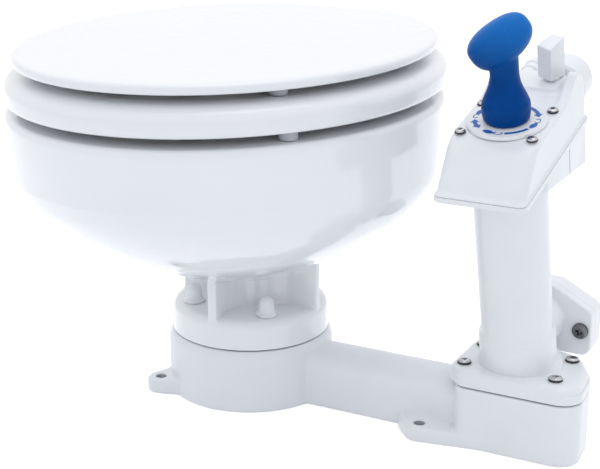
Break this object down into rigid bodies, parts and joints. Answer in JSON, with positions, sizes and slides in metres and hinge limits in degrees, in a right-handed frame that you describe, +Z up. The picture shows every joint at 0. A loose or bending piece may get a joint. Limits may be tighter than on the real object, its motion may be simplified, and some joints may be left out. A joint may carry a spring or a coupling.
{
  "type": "manual marine toilet",
  "caption": "Compact boat toilet: a bowl with hinged seat and lid on a base casting, and a tilted hand pump with pull handle, flush lever and valves beside it.",
  "frame": {"origin": "on the floor, at the centre of the drum under the bowl, on the underside of the base casting", "axes": "+Z up, +X from the bowl towards the pump, -Y towards the user and +Y towards the seat hinge"},
  "size_m": [0.467, 0.4143, 0.3483],
  "materials": {
    "white_plastic": "satin gloss moulded plastic",
    "white_ceramic": "opaque glazed vitreous china",
    "white_enamel": "gloss enamel",
    "blue_plastic": "satin moulded plastic",
    "black_rubber": "matt rubber",
    "grey_rubber": "matt pale rubber",
    "stainless": "bright stainless steel",
    "brass": "plain brass"
  },
  "bodies": {
    "root": {"base_casting": "white_plastic", "base_screw_1": "stainless", "base_screw_2": "stainless", "base_screw_3": "stainless", "base_screw_4": "stainless", "base_valve_gasket": "black_rubber", "bolt_cap_1": "white_plastic", "bolt_cap_2": "white_plastic", "bolt_cap_3": "white_plastic", "bolt_cap_4": "white_plastic", "bowl": "white_ceramic", "bowl_bolt_1": "stainless", "bowl_bolt_2": "stainless", "bowl_bolt_3": "stainless", "bowl_bolt_4": "stainless", "bowl_gasket": "black_rubber", "bowl_inlet_spud": "white_plastic", "dial_plate": "white_plastic", "discharge_elbow": "white_plastic", "elbow_screw_1": "stainless", "elbow_screw_2": "stainless", "head_screw_1": "stainless", "head_screw_2": "stainless", "head_screw_3": "stainless", "head_screw_4": "stainless", "hinge_bolt_left": "stainless", "hinge_bolt_right": "stainless", "hinge_pin_left": "stainless", "hinge_pin_right": "stainless", "hinge_post_left": "white_plastic", "hinge_post_right": "white_plastic", "intake_elbow": "white_plastic", "joker_valve": "black_rubber", "outlet_tail": "white_plastic", "pump_cylinder": "white_plastic", "rod_seal": "black_rubber", "valve_cover": "white_plastic", "valve_gasket": "black_rubber"},
    "seat": {"seat": "white_enamel", "seat_bumper_1": "grey_rubber", "seat_bumper_2": "grey_rubber", "seat_bumper_3": "grey_rubber", "seat_bumper_4": "grey_rubber"},
    "lid": {"lid": "white_enamel", "lid_bumper_1": "grey_rubber", "lid_bumper_2": "grey_rubber", "lid_bumper_3": "grey_rubber", "lid_bumper_4": "grey_rubber"},
    "piston": {"piston": "white_plastic", "piston_o_ring": "black_rubber"},
    "handle": {"handle": "blue_plastic", "piston_rod": "stainless"},
    "flush_lever": {"flush_lever": "white_plastic", "valve_cam": "white_plastic"},
    "flap": {"flap_valve": "black_rubber", "flap_weight": "brass"}
  },
  "joints": [
    {"name": "seat_hinge", "type": "hinge", "parent": "root", "child": "seat", "pos_m": [0, 0.17, 0.2784], "axis": [-1, 0, 0], "range_deg": [0, 95]},
    {"name": "lid_hinge", "type": "hinge", "parent": "seat", "child": "lid", "pos_m": [0, 0.17, 0.2784], "axis": [-1, 0, 0], "range_deg": [0, 100]},
    {"name": "piston_slide", "type": "slide", "parent": "root", "child": "piston", "axis": [0, -0.2588, 0.9659], "range_m": [0, 0.105]},
    {"name": "handle_twist", "type": "hinge", "parent": "piston", "child": "handle", "pos_m": [0.241, 0.002, 0.0633], "axis": [0, -0.2588, 0.9659], "range_deg": [0, 90]},
    {"name": "flush_lever_turn", "type": "hinge", "parent": "root", "child": "flush_lever", "pos_m": [0.2518, 0.01209, 0.28838], "axis": [0, -0.2588, 0.9659], "range_deg": [0, 60]},
    {"name": "flap_hinge", "type": "hinge", "parent": "root", "child": "flap", "pos_m": [0.2195, 0.00508, 0.0513], "axis": [0, -1, 0], "range_deg": [0, 30]}
  ]
}
